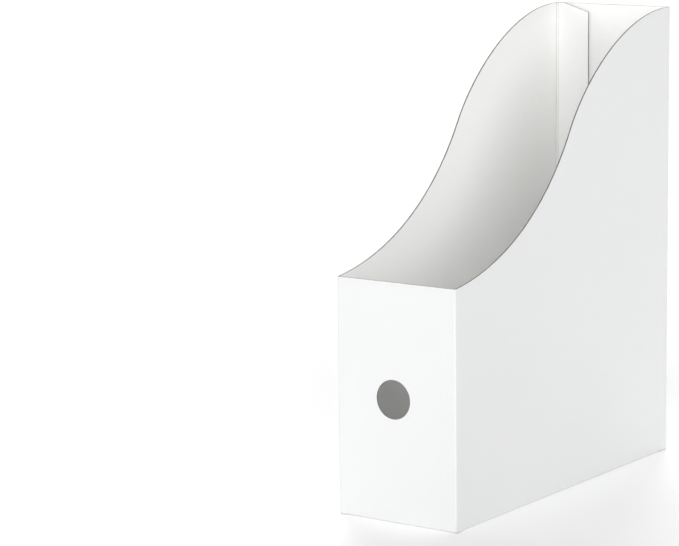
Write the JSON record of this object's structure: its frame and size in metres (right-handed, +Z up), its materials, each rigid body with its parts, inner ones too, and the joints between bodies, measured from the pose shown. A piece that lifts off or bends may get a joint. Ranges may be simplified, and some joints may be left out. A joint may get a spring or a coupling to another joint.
{
  "type": "magazine file holder",
  "caption": "Upright magazine file folded from coated board, with S-curved sides, a low front, a tall back and finger holes; it folds flat.",
  "frame": {"origin": "middle of the footprint, on the surface it stands on", "axes": "+Z up; -Y is the way the low front panel faces; +X is the right side seen from the front"},
  "size_m": [0.092, 0.275, 0.318],
  "materials": {
    "board": "satin",
    "folded_board": "satin",
    "glue": "satin"
  },
  "bodies": {
    "front": {"front_panel": "board", "fold_front_left": "folded_board", "fold_front_right": "folded_board", "fold_front_dust": "folded_board"},
    "right": {"right_side_panel": "board", "fold_back_right": "folded_board", "fold_bottom": "folded_board"},
    "back": {"back_panel": "board", "glue_flap": "board", "glue_line": "glue", "fold_back_dust": "folded_board"},
    "left": {"left_side_panel": "board", "fold_back_left": "folded_board"},
    "bottom": {"bottom_panel": "board", "fold_tuck_tab": "folded_board"},
    "tab": {"tuck_tab": "board"},
    "front_flap": {"front_dust_flap": "board"},
    "back_flap": {"back_dust_flap": "board"}
  },
  "joints": [
    {"name": "tube_fold", "type": "hinge", "parent": "front", "child": "right", "pos_m": [0.0448, -0.1337, 0.09], "axis": [0, 0, 1], "range_deg": [0, 86]},
    {"name": "back_fold", "type": "hinge", "parent": "right", "child": "back", "pos_m": [0.046, 0.1375, 0.16], "axis": [0, 0, 1], "range_deg": [-86, 0]},
    {"name": "left_fold", "type": "hinge", "parent": "front", "child": "left", "pos_m": [-0.046, -0.1375, 0.09], "axis": [0, 0, 1], "range_deg": [0, 86]},
    {"name": "bottom_fold", "type": "hinge", "parent": "right", "child": "bottom", "pos_m": [0.046, 0, 0], "axis": [0, -1, 0], "range_deg": [0, 90]},
    {"name": "tab_fold", "type": "hinge", "parent": "bottom", "child": "tab", "pos_m": [-0.0426, 0, 0.0017], "axis": [0, 1, 0], "range_deg": [0, 90]},
    {"name": "front_flap_fold", "type": "hinge", "parent": "front", "child": "front_flap", "pos_m": [0, -0.13581, 0.00129], "axis": [1, 0, 0], "range_deg": [0, 79]},
    {"name": "back_flap_fold", "type": "hinge", "parent": "back", "child": "back_flap", "pos_m": [0, 0.13581, 0.00129], "axis": [-1, 0, 0], "range_deg": [0, 79]}
  ],
  "couplings": [
    {"joint": "back_fold", "follows": "tube_fold", "ratio": -1},
    {"joint": "left_fold", "follows": "tube_fold", "ratio": 1},
    {"joint": "bottom_fold", "follows": "tube_fold", "ratio": 1.0464},
    {"joint": "tab_fold", "follows": "tube_fold", "ratio": 1.0464},
    {"joint": "front_flap_fold", "follows": "tube_fold", "ratio": 0.9186},
    {"joint": "back_flap_fold", "follows": "tube_fold", "ratio": 0.9186}
  ]
}
